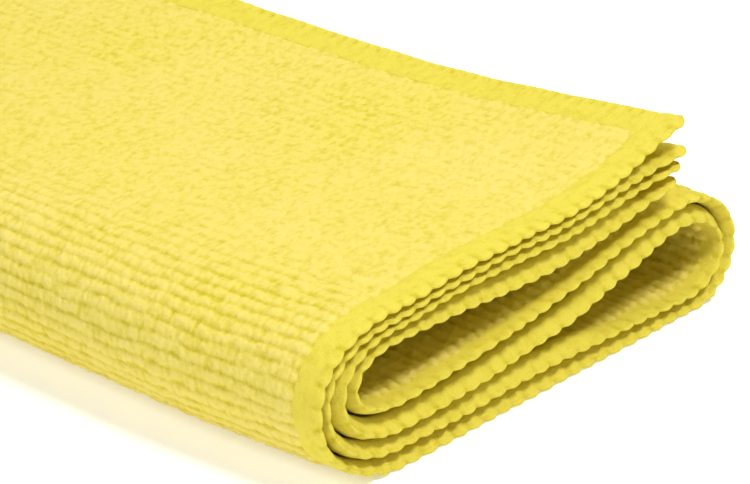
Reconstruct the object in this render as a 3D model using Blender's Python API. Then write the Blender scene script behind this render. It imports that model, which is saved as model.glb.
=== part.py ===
"""A square microfibre cleaning cloth, folded into a flat bundle of eight layers.

The cloth is doubled once along its far end and then folded in half twice, so it is one sheet
that runs back and forth. Each line across the bundle is a U of the two plies, and the solid is
that U carried along the path of the folds. Lengths in the tables are in millimetres.
"""

import math

import bpy
import numpy as np

# Driving dimensions, in millimetres.
NEAR_END_X = 100.0
FAR_END_X = -100.0
SHEET_THICKNESS = 1.2
EDGE_THICKNESS = 0.5
EDGE_ROUNDING = 0.5
REST_HEIGHT = SHEET_THICKNESS / 2

# How the two plies are stepped into faces.
SECTION_STEPS = 14
FOLD_STEPS = 20
FAR_FOLD_STEPS = 6
LENGTH_PARTS = (0.0, 0.05, 0.12, 0.21, 0.32, 0.46, 0.64, 0.82, 1.0)

# Where along y the height of a layer is given: the front bend ends at the first, and the last
# is either the start of the back bend or the free edge, whose y has its own column.
STATION_Y = (17.0, 30.0, 45.0, 60.0, 72.0)

# One row for each layer, from the top of the bundle down: height of its middle at each station.
LAYERS = (
    ("name", "end_y", "z_17", "z_30", "z_45", "z_60", "z_72", "z_end"),
    ("lid_outer", 88.2, 28.15, 29.15, 29.75, 29.95, 31.9, 37.0),
    ("lid_inner", 88.2, 26.5, 27.5, 28.0, 28.15, 29.6, 31.3),
    ("tuck_inner", 86.5, 24.9, 25.9, 26.2, 26.1, 27.6, 28.9),
    ("tuck_outer", 85.2, 22.8, 22.4, 21.5, 21.8, 23.6, 26.4),
    ("middle_outer", 88.0, 11.8, 12.6, 14.3, 16.6, 19.2, 21.2),
    ("middle_inner", 87.0, 7.0, 7.4, 9.0, 10.7, 13.4, 16.2),
    ("base_inner", 86.0, 3.8, 3.6, 4.2, 4.0, 3.6, 3.2),
    ("base_outer", 88.0, REST_HEIGHT, REST_HEIGHT, REST_HEIGHT, REST_HEIGHT, REST_HEIGHT,
     REST_HEIGHT),
)

# One row for each bend of a ply: where its nose is, and how square the bend is (2 is an ellipse).
BENDS = (
    ("name", "nose_y", "nose_z", "squareness"),
    ("front_outer", -1.0, 14.8, 2.15),
    ("front_second", 0.8, 15.4, 2.15),
    ("back_outer", 99.4, 11.2, 2.0),
    ("back_inner", 96.0, 9.7, 2.0),
    ("front_third", 4.2, 15.8, 2.1),
    ("front_inner", 7.2, 17.0, 2.1),
)

# The path of the folds from one free edge to the other, a row for each stretch of it. A layer
# is walked to the front or to the back.
PATH = (
    ("stretch", "outer_ply", "inner_ply", "walked"),
    ("free_layer", "lid_outer", "lid_inner", "to_front"),
    ("bend", "front_outer", "front_second", "down"),
    ("held_layer", "base_outer", "base_inner", "to_back"),
    ("bend", "back_outer", "back_inner", "up"),
    ("held_layer", "middle_outer", "middle_inner", "to_front"),
    ("bend", "front_inner", "front_third", "up"),
    ("free_layer", "tuck_outer", "tuck_inner", "to_back"),
)

# The unevenness along the bundle, a row for each place on it: how far the front face stands out,
# and how far the free edges at the back lie under those of the near corner.
UNEVENNESS = (
    ("x", "front_out", "back_drop"),
    (-100.0, 0.2, 3.0),
    (-60.0, 0.8, 2.5),
    (-20.0, 0.4, 1.9),
    (10.0, 0.8, 2.8),
    (45.0, 1.4, 3.1),
    (65.0, 1.5, 2.1),
    (85.0, 0.7, 0.7),
    (100.0, 0.0, 0.0),
)
FRONT_ZONE = (26.0, 6.0)
BACK_ZONE = (60.0, 88.0)
HIGH_ZONE = (22.0, 37.0)

MM = 0.001
CLOTH_COLOUR = (0.88, 0.74, 0.06, 1.0)
CLOTH_ROUGHNESS = 0.95


def rows_by_name(table: tuple) -> dict[str, dict]:
    """Turns a table with a heading row into a dictionary of its rows, by their first column."""
    heading = table[0]
    return {row[0]: dict(zip(heading, row, strict=True)) for row in table[1:]}


def smooth_step(value: float, zone: tuple[float, float]) -> float:
    """0 before the zone, 1 past it, with a soft ramp between. A zone can run downward."""
    start, end = zone
    part = min(max((value - start) / (end - start), 0.0), 1.0)
    return part * part * (3.0 - 2.0 * part)


def on_curve(at: float, places: np.ndarray, values: np.ndarray, slopes: np.ndarray) -> float:
    """The value of a smooth curve that goes through the given values with the given slopes."""
    k = int(np.searchsorted(places, at, side="right")) - 1
    k = min(max(k, 0), len(places) - 2)
    width = places[k + 1] - places[k]
    part = (at - places[k]) / width
    square, cube = part**2, part**3
    value = (2 * cube - 3 * square + 1) * values[k]
    value += (3 * square - 2 * cube) * values[k + 1]
    value += (cube - 2 * square + part) * width * slopes[k]
    value += (cube - square) * width * slopes[k + 1]
    return value


def layer_heights(row: dict) -> tuple[np.ndarray, np.ndarray]:
    """The y and z of the stations of one layer, from the front bend to its last station."""
    y = np.array(STATION_Y + (row["end_y"],))
    z = np.array([row["z_17"], row["z_30"], row["z_45"], row["z_60"], row["z_72"], row["z_end"]])
    return y, z


def curve_through(y: np.ndarray, z: np.ndarray, steps: int, free_end: bool) -> np.ndarray:
    """Points on a smooth curve through the stations, level where it meets a bend."""
    slope = np.gradient(z, y)
    slope[0] = 0.0
    slope[-1] = (z[-1] - z[-2]) / (y[-1] - y[-2]) if free_end else 0.0
    stops = np.linspace(y[0], y[-1], steps + 1)
    return np.array([(at, on_curve(at, y, z, slope)) for at in stops])


def bend_between(start: np.ndarray, row: dict, end: np.ndarray, steps: int) -> np.ndarray:
    """Points of a bend, from one layer's end by way of the nose to the next layer's end."""
    nose_y, nose_z, power = row["nose_y"], row["nose_z"], 2.0 / row["squareness"]
    points = []
    for step in range(1, steps):
        turn = math.pi * step / steps
        side = start if turn <= math.pi / 2 else end
        across = abs(math.sin(turn)) ** power
        along = abs(math.cos(turn)) ** power
        y = side[0] + (nose_y - side[0]) * across
        z = nose_z + (side[1] - nose_z) * along
        points.append((y, z))
    return np.array(points)


def ply_path(column: str) -> np.ndarray:
    """The (y, z) points of one ply along the folds, from one free edge to the other."""
    layers = rows_by_name(LAYERS)
    bends = rows_by_name(BENDS)
    stretches = [dict(zip(PATH[0], row, strict=True)) for row in PATH[1:]]
    path = []
    for stretch in stretches:
        if stretch["stretch"] == "bend":
            path.append(None)
            continue
        y, z = layer_heights(layers[stretch[column]])
        points = curve_through(y, z, SECTION_STEPS, stretch["stretch"] == "free_layer")
        path.append(points if stretch["walked"] == "to_back" else points[::-1])
    for index, stretch in enumerate(stretches):
        if path[index] is None:
            start, end = path[index - 1][-1], path[index + 1][0]
            path[index] = bend_between(start, bends[stretch[column]], end, FOLD_STEPS)
    return np.concatenate(path)


def rounded_ends(path: np.ndarray) -> np.ndarray:
    """The path with a point put in a rounding's length before each free edge."""
    first = path[1] - path[0]
    last = path[-2] - path[-1]
    near_first = path[0] + first * (EDGE_ROUNDING / np.linalg.norm(first))
    near_last = path[-1] + last * (EDGE_ROUNDING / np.linalg.norm(last))
    return np.concatenate([path[:1], [near_first], path[1:-1], [near_last], path[-1:]])


def unit(vectors: np.ndarray) -> np.ndarray:
    """Each row, one long."""
    return vectors / np.linalg.norm(vectors, axis=-1, keepdims=True)


def normals_of(path: np.ndarray) -> np.ndarray:
    """The unit normals of a path, a quarter turn to the left of its direction."""
    along = unit(np.gradient(path, axis=0))
    return np.stack([-along[:, 1], along[:, 0]], axis=1)


def settled(x: float, y: float, z: float) -> tuple[float, float, float]:
    """Where a point goes by the unevenness of the bundle along its length."""
    places, fronts, drops = np.array(UNEVENNESS[1:]).T
    inside = min(max(x, FAR_END_X), NEAR_END_X)
    front_out = on_curve(inside, places, fronts, np.gradient(fronts, places))
    back_drop = on_curve(inside, places, drops, np.gradient(drops, places))
    y_shift = front_out * smooth_step(y, FRONT_ZONE)
    z_shift = back_drop * smooth_step(y, BACK_ZONE) * smooth_step(z, HIGH_ZONE)
    return x, y - y_shift, z - z_shift


def cloth_points() -> np.ndarray:
    """The points of the solid as an array: along the path, round the U, and x, y, z."""
    outer = rounded_ends(ply_path("outer_ply"))
    inner = rounded_ends(ply_path("inner_ply"))
    gap = outer - inner
    half_gap = np.linalg.norm(gap, axis=1) / 2
    middle = (outer + inner) / 2
    outer_normal = normals_of(outer)
    inner_normal = normals_of(inner)
    # Each ply's normal points away from the other ply.
    outer_normal *= np.sign(np.sum(outer_normal * gap, axis=1))[:, None]
    inner_normal *= -np.sign(np.sum(inner_normal * gap, axis=1))[:, None]
    rings = []
    last = len(outer) - 1
    for k in range(len(outer)):
        thin = k in (0, last)
        fold_x = FAR_END_X + SHEET_THICKNESS / 2 + half_gap[k]
        straight_start = NEAR_END_X - EDGE_ROUNDING
        straight = straight_start + (fold_x - straight_start) * np.array(LENGTH_PARTS)
        straight = np.concatenate([[NEAR_END_X], straight])
        line = []
        for x in straight:
            line.append((x, outer[k], 0.0, outer_normal[k]))
        for step in range(1, FAR_FOLD_STEPS):
            turn = math.pi * step / FAR_FOLD_STEPS
            beyond = half_gap[k] * math.sin(turn)
            place = middle[k] + gap[k] / 2 * math.cos(turn)
            ply_normal = outer_normal[k] if turn <= math.pi / 2 else inner_normal[k]
            normal = ply_normal * abs(math.cos(turn))
            line.append((fold_x - beyond, place, -math.sin(turn), normal))
        for x in straight[::-1]:
            line.append((x, inner[k], 0.0, inner_normal[k]))
        ring_out, ring_in = [], []
        for at, (x, place, normal_x, normal) in enumerate(line):
            at_edge = at in (0, len(line) - 1)
            half = (EDGE_THICKNESS if thin or at_edge else SHEET_THICKNESS) / 2
            for ring, side in ((ring_out, half), (ring_in, -half)):
                y, z = place + normal * side
                ring.append(settled(x + normal_x * side, y, z))
        rings.append(ring_out + ring_in[::-1])
    points = np.array(rings)
    # The origin is the middle of the bundle, on the surface that it lies on.
    lowest, highest = points.min(axis=(0, 1)), points.max(axis=(0, 1))
    return points - np.array([*(lowest + highest)[:2] / 2, lowest[2]])


def cloth_mesh(points: np.ndarray) -> bpy.types.Mesh:
    """A closed mesh of the rings of points, with the two free edges filled by short faces."""
    rings, around = points.shape[:2]
    faces = []
    for k in range(rings - 1):
        for j in range(around):
            step = (j + 1) % around
            faces.append((k * around + j, k * around + step,
                          (k + 1) * around + step, (k + 1) * around + j))
    half = around // 2
    for ring, forward in ((0, True), (rings - 1, False)):
        start = ring * around
        for j in range(half - 1):
            face = (start + j, start + around - 1 - j, start + around - 2 - j, start + j + 1)
            faces.append(face if forward else face[::-1])
    mesh = bpy.data.meshes.new("cloth")
    mesh.from_pydata([tuple(p) for p in points.reshape(-1, 3) * MM], [], faces)
    mesh.validate()
    return mesh


def turned_outward(obj: bpy.types.Object) -> None:
    """Turns the faces of a closed object to point out of it."""
    bpy.context.view_layer.objects.active = obj
    obj.select_set(True)
    bpy.ops.object.mode_set(mode="EDIT")
    bpy.ops.mesh.select_all(action="SELECT")
    bpy.ops.mesh.normals_make_consistent(inside=False)
    bpy.ops.object.mode_set(mode="OBJECT")


def cloth_material() -> bpy.types.Material:
    """The yellow of the cloth."""
    material = bpy.data.materials.new("yellow_microfibre")
    material.use_nodes = True
    shader = material.node_tree.nodes["Principled BSDF"]
    shader.inputs["Base Color"].default_value = CLOTH_COLOUR
    shader.inputs["Roughness"].default_value = CLOTH_ROUGHNESS
    shader.inputs["Metallic"].default_value = 0.0
    return material


def main() -> None:
    """Clears the scene and makes the folded cloth."""
    for obj in list(bpy.data.objects):
        bpy.data.objects.remove(obj, do_unlink=True)
    cloth = bpy.data.objects.new("cloth", cloth_mesh(cloth_points()))
    bpy.context.scene.collection.objects.link(cloth)
    turned_outward(cloth)
    cloth.data.materials.append(cloth_material())


main()
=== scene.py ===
"""The visual model of a folded yellow microfibre cleaning cloth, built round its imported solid.

The cloth is one square sheet, doubled at its far end and then folded in half twice. Its tables give
the folds of the solid, in millimetres. Every piece here is a patch of that sheet: a place on the flat
cloth is its run, the distance from the free edge of the lid along the folds, and its cross, the
distance from the near cut edge of the outer ply over the far end to that of the inner ply.
"""

import logging
import math
from collections.abc import Sequence
from dataclasses import dataclass, field
from enum import Enum

import bpy
import numpy as np
from mathutils import Matrix, Vector


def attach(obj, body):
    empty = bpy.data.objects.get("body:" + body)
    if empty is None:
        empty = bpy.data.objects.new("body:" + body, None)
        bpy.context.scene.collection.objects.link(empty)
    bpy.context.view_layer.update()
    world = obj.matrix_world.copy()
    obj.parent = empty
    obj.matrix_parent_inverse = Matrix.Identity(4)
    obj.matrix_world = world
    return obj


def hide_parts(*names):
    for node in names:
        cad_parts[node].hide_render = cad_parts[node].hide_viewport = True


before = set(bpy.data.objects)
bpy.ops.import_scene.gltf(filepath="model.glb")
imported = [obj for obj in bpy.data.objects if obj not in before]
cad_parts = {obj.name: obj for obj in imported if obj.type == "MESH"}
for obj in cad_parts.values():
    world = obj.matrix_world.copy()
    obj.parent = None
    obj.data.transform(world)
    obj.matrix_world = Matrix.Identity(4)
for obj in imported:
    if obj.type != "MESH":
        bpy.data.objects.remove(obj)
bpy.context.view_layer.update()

Array = np.ndarray
Colour = tuple[float, float, float, float]
MM = 0.001
BODY = "root"
NODE = "cloth"
PHOTO_WIDTH = 750
NOISE_ROUGHNESS = 0.55

# Where along y the height of a layer is given; the last place is in the layer's own row.
STATION_Y = (17.0, 30.0, 45.0, 60.0, 72.0)

# One row for each layer, from the top of the bundle down: the height of its middle at each station.
LAYERS = (
    ("name", "end_y", "z_17", "z_30", "z_45", "z_60", "z_72", "z_end"),
    ("lid_outer", 88.2, 28.15, 29.15, 29.75, 29.95, 31.9, 37.0),
    ("lid_inner", 88.2, 26.5, 27.5, 28.0, 28.15, 29.6, 31.3),
    ("tuck_inner", 86.5, 24.9, 25.9, 26.2, 26.1, 27.6, 28.9),
    ("tuck_outer", 85.2, 22.8, 22.4, 21.5, 21.8, 23.6, 26.4),
    ("middle_outer", 88.0, 11.8, 12.6, 14.3, 16.6, 19.2, 21.2),
    ("middle_inner", 87.0, 7.0, 7.4, 9.0, 10.9, 14.1, 17.4),
    ("base_inner", 86.0, 3.8, 3.6, 4.2, 4.0, 3.6, 3.2),
    ("base_outer", 88.0, 0.6, 0.6, 0.6, 0.6, 0.6, 0.6),
)

# One row for each bend of a ply: where its nose is, and how square the bend is (2 is an ellipse).
BENDS = (
    ("name", "nose_y", "nose_z", "squareness"),
    ("front_outer", -1.0, 14.8, 2.15),
    ("front_second", 0.8, 15.4, 2.15),
    ("back_outer", 99.4, 11.2, 2.0),
    ("back_inner", 96.4, 10.2, 2.0),
    ("front_third", 4.2, 15.8, 2.1),
    ("front_inner", 7.2, 17.0, 2.1),
)

# The path of the folds from one free edge to the other, a row for each stretch of it. The first
# layer is walked toward the front, the next toward the back, and so on by turns.
PATH = (
    ("stretch", "outer_ply", "inner_ply"),
    ("free_layer", "lid_outer", "lid_inner"),
    ("bend", "front_outer", "front_second"),
    ("held_layer", "base_outer", "base_inner"),
    ("bend", "back_outer", "back_inner"),
    ("held_layer", "middle_outer", "middle_inner"),
    ("bend", "front_inner", "front_third"),
    ("free_layer", "tuck_outer", "tuck_inner"),
)

# The unevenness along the bundle: how far the front face stands out, and how far the free edges
# at the back lie under those of the near corner.
UNEVENNESS = (
    ("x", "front_out", "back_drop"),
    (-100.0, 0.2, 3.0),
    (-60.0, 0.8, 2.5),
    (-20.0, 0.4, 1.9),
    (10.0, 0.8, 2.8),
    (45.0, 1.4, 3.1),
    (65.0, 1.5, 2.1),
    (85.0, 0.7, 0.7),
    (100.0, 0.0, 0.0),
)


def rows_by_name(table: tuple) -> dict[str, dict]:
    """Turns a table with a heading row into a dictionary of its rows, by their first column."""
    heading = table[0]
    return {row[0]: dict(zip(heading, row, strict=True)) for row in table[1:]}


def eased(part: Array) -> Array:
    """A part from 0 to 1 with a soft start and a soft end."""
    return part * part * (3.0 - 2.0 * part)


def ramp(value: Array, start: float, end: float) -> Array:
    """0 before the start, 1 past the end, with a soft rise between. It can run downward."""
    return eased(np.clip((value - start) / (end - start), 0.0, 1.0))


def unit(vectors: Array) -> Array:
    """Each row, one long."""
    return vectors / np.linalg.norm(vectors, axis=-1, keepdims=True)


def set_rim(grid: Array, other: Array) -> None:
    """Gives the rim of a grid the values that another grid of the same shape has there."""
    grid[[0, -1], :] = other[[0, -1], :]
    grid[:, [0, -1]] = other[:, [0, -1]]


def stepped(start: float, stretches: Sequence[tuple[float, float]]) -> Array:
    """Places one after another, evenly spaced in each stretch.

    Args:
        start: The first place.
        stretches: The end of each stretch, and about how far apart its places are.

    Returns:
        The places, rising.
    """
    stops = [np.array([start])]
    for end, step in stretches:
        stops.append(np.linspace(start, end, round((end - start) / step) + 1)[1:])
        start = end
    return np.concatenate(stops)


def smooth_curve(at: Array, places: Array, values: Array, slopes: Array) -> Array:
    """A smooth curve through given values.

    Args:
        at: Where the curve is read.
        places: The places of the given values, rising.
        values: The values there.
        slopes: The slopes there.

    Returns:
        The value of the curve at each place asked for.
    """
    k = np.clip(np.searchsorted(places, at, side="right") - 1, 0, len(places) - 2)
    width = places[k + 1] - places[k]
    part = (at - places[k]) / width
    square, cube = part**2, part**3
    value = (2 * cube - 3 * square + 1) * values[k] + (3 * square - 2 * cube) * values[k + 1]
    value += (cube - 2 * square + part) * width * slopes[k]
    return value + (cube - square) * width * slopes[k + 1]


class Seed(Enum):
    """The seed of each random field, so that no two are alike."""

    SCALLOP_DRIFT = 11
    SCALLOP_SIZE = 12
    PUCKER_DEPTH = 13
    RIM_SWAY = 14
    PUCKER_LEAN = 15
    PUCKER_REACH = 16
    ROW_BENDS = 21
    ROW_WAVER = 22
    KNOT_DRIFT = 24
    KNOT_SIZE = 25
    KNOT_WAVER = 26
    KNOT_WIDTH = 27
    CLUMPS = 28
    TUFTS = 29
    HEM_GRAIN = 31
    HEM_LUMPS = 32
    PILE_EDGE = 41
    PILE_GRAIN = 42


@dataclass(frozen=True)
class SoftNoise:
    """A smooth random field on a plane, the same in each run. It goes from -1 to 1."""

    seed: Seed
    cells: int = 256

    def table(self) -> Array:
        """The random values at the corners of the cells."""
        return np.random.default_rng(self.seed.value).uniform(-1.0, 1.0, (self.cells, self.cells))

    def at(self, across: Array, along: Array | float = 0.0) -> Array:
        """The field's value.

        Args:
            across: The first coordinate, in cells.
            along: The second coordinate, in cells.

        Returns:
            The smoothed value at each pair of coordinates.
        """
        across, along = np.broadcast_arrays(across, along)
        low_a, low_b = np.floor(across).astype(int), np.floor(along).astype(int)
        part_a, part_b = eased(across - low_a), eased(along - low_b)
        a0, a1 = low_a % self.cells, (low_a + 1) % self.cells
        table = self.table()
        start, end = (table[a0, b] * (1 - part_a) + table[a1, b] * part_a
                      for b in (low_b % self.cells, (low_b + 1) % self.cells))
        return start * (1 - part_b) + end * part_b

    def cell(self, across: Array, along: Array | int) -> Array:
        """The one random value of each whole cell, from 0 to 1."""
        return 0.5 + 0.5 * self.table()[across % self.cells, along % self.cells]


class Ply(Enum):
    """The two plies of the doubled sheet, by their column in the table of the path."""

    OUTER = "outer_ply"
    INNER = "inner_ply"


@dataclass
class Folds:
    """Where each place of the flat cloth lies in the bundle. Lengths are in millimetres.

    It holds its paths as arrays with a row for each place along the run: the middle of each ply
    as y and z, its normal away from the other ply, and the run measured on that ply.
    """

    near_end_x: float = 100.0
    far_end_x: float = -100.0
    solid_thickness: float = 1.2
    flat_width: float = 400.0
    centre_y: float = 48.431
    layer_steps: int = 170
    bend_steps: int = 120
    past_edge: float = 6.0
    front_zone: tuple[float, float] = (26.0, 6.0)
    back_zone: tuple[float, float] = (60.0, 88.0)
    high_zone: tuple[float, float] = (22.0, 37.0)
    open_room: float = 15.0
    ahead_share: float = 0.75
    evened_steps: int = 13
    floor_gap: float = 0.02
    runs: dict[Ply, Array] = field(init=False)
    middles: dict[Ply, Array] = field(init=False)
    normals: dict[Ply, Array] = field(init=False)

    def __post_init__(self) -> None:
        """Works out the two paths from the tables."""
        self.middles = {ply: self._extended(self._path(ply)) for ply in Ply}
        self.runs = {ply: self._measured(self.middles[ply]) for ply in Ply}
        gap = self.middles[Ply.OUTER] - self.middles[Ply.INNER]
        self.normals = {}
        for ply, away in ((Ply.OUTER, 1.0), (Ply.INNER, -1.0)):
            along = unit(np.gradient(self.middles[ply], axis=0))
            normal = np.stack([-along[:, 1], along[:, 0]], axis=1)
            self.normals[ply] = normal * np.sign(away * np.sum(normal * gap, axis=1))[:, None]

    def _layer(self, row: dict, free_end: bool) -> Array:
        """Points on a smooth curve through the stations of a layer, level where it meets a bend.

        Args:
            row: The layer's row of the table.
            free_end: Whether it ends free at the back, and not in a bend.

        Returns:
            The points as y and z, from the front to the back.
        """
        y = np.array(STATION_Y + (row["end_y"],))
        z = np.array([row[name] for name in LAYERS[0][2:]])
        slope = np.gradient(z, y)
        slope[0] = 0.0
        slope[-1] = (z[-1] - z[-2]) / (y[-1] - y[-2]) if free_end else 0.0
        stops = np.linspace(y[0], y[-1], self.layer_steps + 1)
        return np.stack([stops, smooth_curve(stops, y, z, slope)], axis=1)

    def _bend(self, start: Array, row: dict, end: Array) -> Array:
        """Points of a bend, from one layer's end by way of the nose to the next layer's end.

        Args:
            start: The y and z of the first layer's end.
            row: The bend's row of the table.
            end: The y and z of the next layer's end.

        Returns:
            The points between the two ends, as y and z.
        """
        turn = np.pi * np.arange(1, self.bend_steps) / self.bend_steps
        side = np.where((turn <= np.pi / 2)[:, None], start, end)
        power = 2.0 / row["squareness"]
        across, along = np.sin(turn) ** power, np.abs(np.cos(turn)) ** power
        y = side[:, 0] + (row["nose_y"] - side[:, 0]) * across
        z = row["nose_z"] + (side[:, 1] - row["nose_z"]) * along
        return np.stack([y, z], axis=1)

    def _path(self, ply: Ply) -> Array:
        """The path of one ply's middle along the folds.

        Args:
            ply: The ply.

        Returns:
            The points as y and z, from one free edge to the other.
        """
        layers, bends = rows_by_name(LAYERS), rows_by_name(BENDS)
        stretches = [dict(zip(PATH[0], row, strict=True)) for row in PATH[1:]]
        walked = [self._layer(layers[stretch[ply.value]], stretch["stretch"] == "free_layer")
                  for stretch in stretches[::2]]
        walked[::2] = [points[::-1] for points in walked[::2]]
        path = [walked[0]]
        for bend, before, after in zip(stretches[1::2], walked[:-1], walked[1:], strict=True):
            path += [self._bend(before[-1], bends[bend[ply.value]], after[0]), after]
        return np.concatenate(path)

    def _extended(self, path: Array) -> Array:
        """The path with a straight piece added past each free edge."""
        first, last = unit(path[0] - path[1]), unit(path[-1] - path[-2])
        before, after = path[0] + first * self.past_edge, path[-1] + last * self.past_edge
        return np.concatenate([[before], path, [after]])

    def _measured(self, path: Array) -> Array:
        """The length along an extended path, which is 0 at the first free edge."""
        steps = np.linalg.norm(np.diff(path, axis=0), axis=1)
        return np.concatenate([[0.0], np.cumsum(steps)]) - self.past_edge

    def length(self, ply: Ply) -> float:
        """How long a ply is along the folds, from free edge to free edge."""
        return float(self.runs[ply][-1]) - self.past_edge

    def shared_run(self, ply: Ply, own_run: Array) -> Array:
        """The outer ply's run at a run that is measured on the given ply."""
        return np.interp(own_run, self.runs[ply], self.runs[Ply.OUTER])

    def read(self, table: Array, run: Array) -> Array:
        """The rows of a table of y and z at given runs."""
        return np.stack([np.interp(run, self.runs[Ply.OUTER], table[:, k]) for k in (0, 1)], axis=-1)

    def neighbour(self, ply: Ply, side: float, own_run: Array) -> tuple[Array, Array]:
        """The next layer on one side of a ply.

        Args:
            ply: The ply.
            side: 1 for the side away from the other ply, and -1 for the side toward it.
            own_run: The runs asked for, measured on this ply.

        Returns:
            How far off the next layer's middle is, and how far that side faces up, from -1 to 1.
        """
        own, facing = self.middles[ply], self.normals[ply] * side
        room = np.full(len(own), self.open_room)
        for other in Ply:
            gap = self.middles[other][None] - own[:, None]
            far = np.linalg.norm(gap, axis=-1)
            ahead = np.sum(gap * facing[:, None], axis=-1) > self.ahead_share * far
            if other is ply:
                ahead &= np.abs(self.runs[ply][None] - self.runs[ply][:, None]) > self.open_room
            room = np.minimum(room, np.where(ahead & (far > 0.0), far, np.inf).min(axis=1))
        even = np.ones(self.evened_steps) / self.evened_steps
        padded = np.pad(room, self.evened_steps // 2, mode="edge")
        runs = self.runs[ply]
        return (np.interp(own_run, runs, np.convolve(padded, even, mode="valid")),
                np.interp(own_run, runs, facing[:, 1]))

    def middle(self, run: Array, cross: Array) -> tuple[Array, Array]:
        """The middle of the sheet at places of the flat cloth.

        Args:
            run: The distance along the folds on the outer ply.
            cross: The distance across, from the outer ply's near edge to the inner ply's.

        Returns:
            The points as x, y, z, and the sheet's normals out of its doubled form.
        """
        outer, inner = (self.read(self.middles[ply], run) for ply in Ply)
        gap = outer - inner
        radius = np.linalg.norm(gap, axis=-1) / 2
        fold_x = self.far_end_x + self.solid_thickness / 2 + radius
        straight = self.near_end_x - fold_x
        along = cross / self.flat_width * (2 * straight + np.pi * radius)
        past = along - straight
        turn = np.clip(past / radius, 0.0, np.pi)
        x = fold_x + np.maximum(-past, 0.0) + np.maximum(past - np.pi * radius, 0.0)
        x = x - radius * np.sin(turn)
        place = (outer + inner) / 2 + gap / 2 * np.cos(turn)[..., None]
        on_outer = (turn <= np.pi / 2)[..., None]
        side = unit(np.where(on_outer, *(self.read(self.normals[ply], run) for ply in Ply)))
        side = side * np.abs(np.cos(turn))[..., None]
        points = np.concatenate([x[..., None], place], axis=-1)
        return points, np.concatenate([-np.sin(turn)[..., None], side], axis=-1)

    def settled(self, points: Array) -> Array:
        """The points after the unevenness of the bundle, with the middle of its base at the origin.

        Args:
            points: The points of the even bundle, as x, y, z.

        Returns:
            The moved points.
        """
        places, *columns = np.array(UNEVENNESS[1:]).T
        x, y, z = np.moveaxis(points, -1, 0)
        inside = np.clip(x, self.far_end_x, self.near_end_x)
        front_out, back_drop = (smooth_curve(inside, places, column, np.gradient(column, places))
                                for column in columns)
        y_new = y - front_out * ramp(y, *self.front_zone) - self.centre_y
        z_new = z - back_drop * ramp(y, *self.back_zone) * ramp(z, *self.high_zone)
        return np.stack([x, y_new, z_new], axis=-1)

    def surface(self, run: Array, cross: Array, height: Array) -> Array:
        """Points on or beside the sheet, in the frame's own place, held above the floor.

        Args:
            run: The distance along the folds on the outer ply.
            cross: The distance across the flat cloth.
            height: How far along the normal each point is from the sheet's middle.

        Returns:
            The points as x, y, z in millimetres.
        """
        middles, normals = self.middle(run, cross)
        points = self.settled(middles + normals * height[..., None])
        points[..., 2] = np.maximum(points[..., 2], self.floor_gap)
        return points


@dataclass(frozen=True)
class Skin:
    """A grid of points with what its material reads: relief from 0 to 1, and flat coordinates."""

    points: Array
    relief: Array
    flat: Array


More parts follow.
